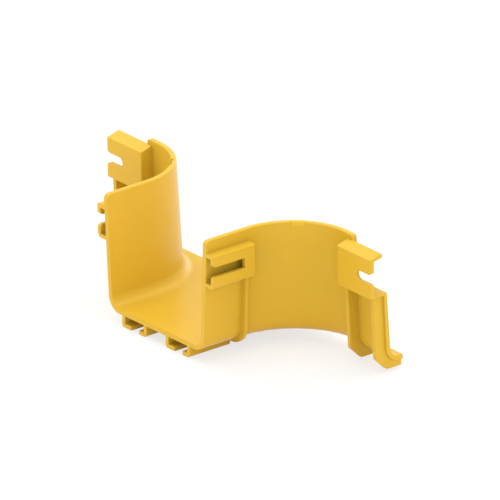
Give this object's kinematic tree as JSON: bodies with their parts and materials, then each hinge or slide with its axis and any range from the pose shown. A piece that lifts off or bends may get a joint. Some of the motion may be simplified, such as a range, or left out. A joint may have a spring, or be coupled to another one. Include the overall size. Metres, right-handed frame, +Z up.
{
  "type": "raceway junction fitting",
  "caption": "Open-topped cable raceway junction: a U-shaped branch port flares through curved side walls into a straight run with a flat floor, slotted brackets and ribs.",
  "frame": {"origin": "middle of the branch port's mouth, on the underside of the floor", "axes": "+Z up, out of the open top; +Y from the branch mouth back towards the open side; the straight run lies along X"},
  "size_m": [0.357, 0.1245, 0.1154],
  "materials": {
    "junction_fitting": "satin moulded plastic, warm yellow"
  },
  "bodies": {
    "root": {"junction_fitting": "junction_fitting"}
  },
  "joints": []
}
